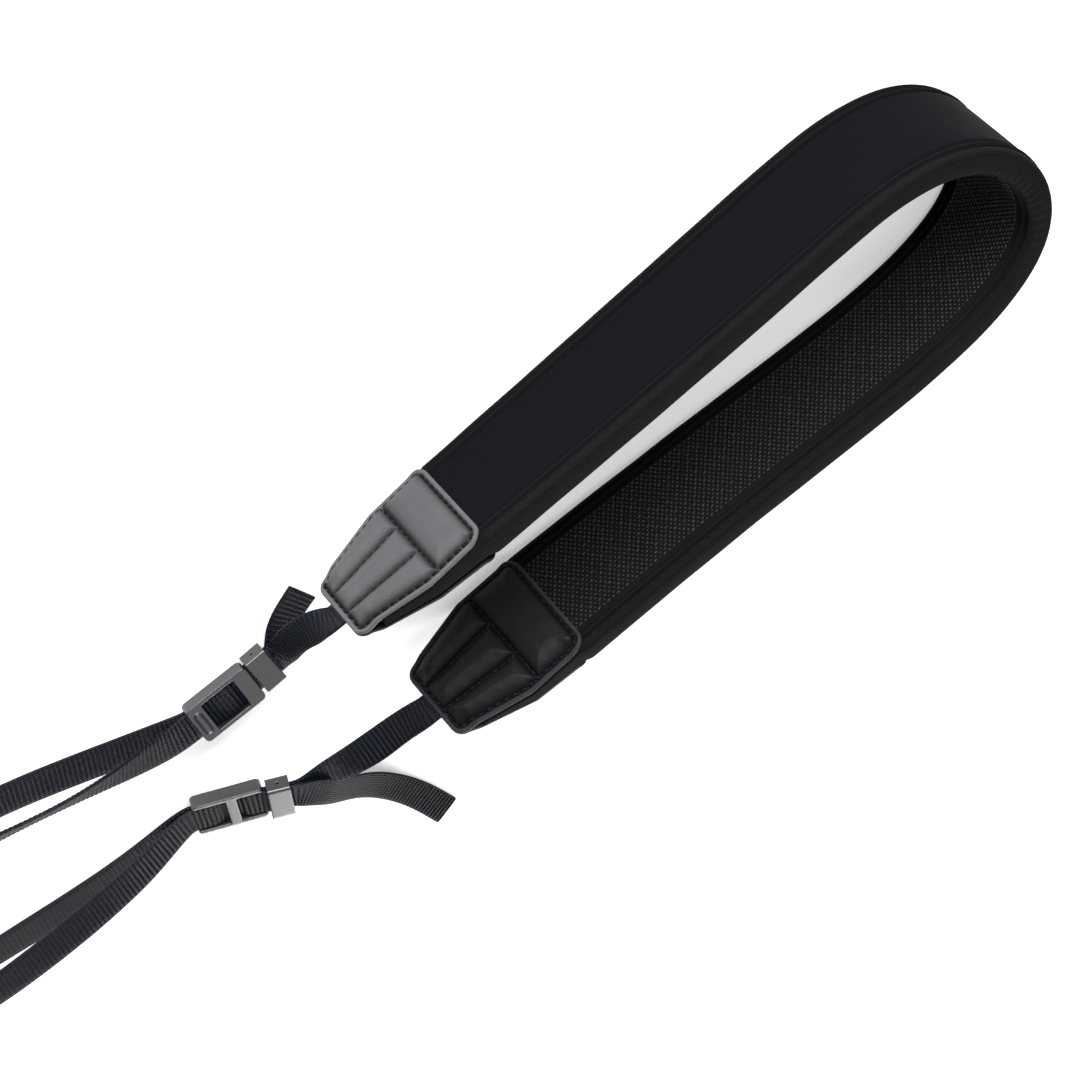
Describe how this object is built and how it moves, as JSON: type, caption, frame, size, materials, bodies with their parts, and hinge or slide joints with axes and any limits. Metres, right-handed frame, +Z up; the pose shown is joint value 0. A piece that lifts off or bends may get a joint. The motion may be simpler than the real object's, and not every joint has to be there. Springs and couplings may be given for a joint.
{
  "type": "camera neck strap",
  "caption": "Padded camera neck strap bent into a hairpin, with quilted leather tabs, ribbed webbing, slide buckles and keepers, and open camera loops.",
  "frame": {"origin": "under the middle of the whole strap's extent, on the surface that its long edge rests on", "axes": "+X from the padded bend towards the camera loops, +Y from the front run towards the back run, +Z up from the resting surface"},
  "size_m": [0.4178, 0.1634, 0.0412],
  "materials": {
    "pad_cover": "matte",
    "smooth_panel": "matte",
    "grip_mesh": "rough mesh",
    "leather": "soft grain, satin",
    "webbing": "ribbed weave",
    "moulded_plastic": "satin"
  },
  "bodies": {
    "root": {"pad_body": "pad_cover", "outer_panel": "smooth_panel", "grip_panel": "grip_mesh", "front_tab_outer": "leather", "front_tab_inner": "leather", "front_buckle": "moulded_plastic", "front_keeper": "moulded_plastic", "front_webbing": "webbing", "back_tab_outer": "leather", "back_tab_inner": "leather", "back_buckle": "moulded_plastic", "back_keeper": "moulded_plastic", "back_webbing": "webbing"}
  },
  "joints": []
}
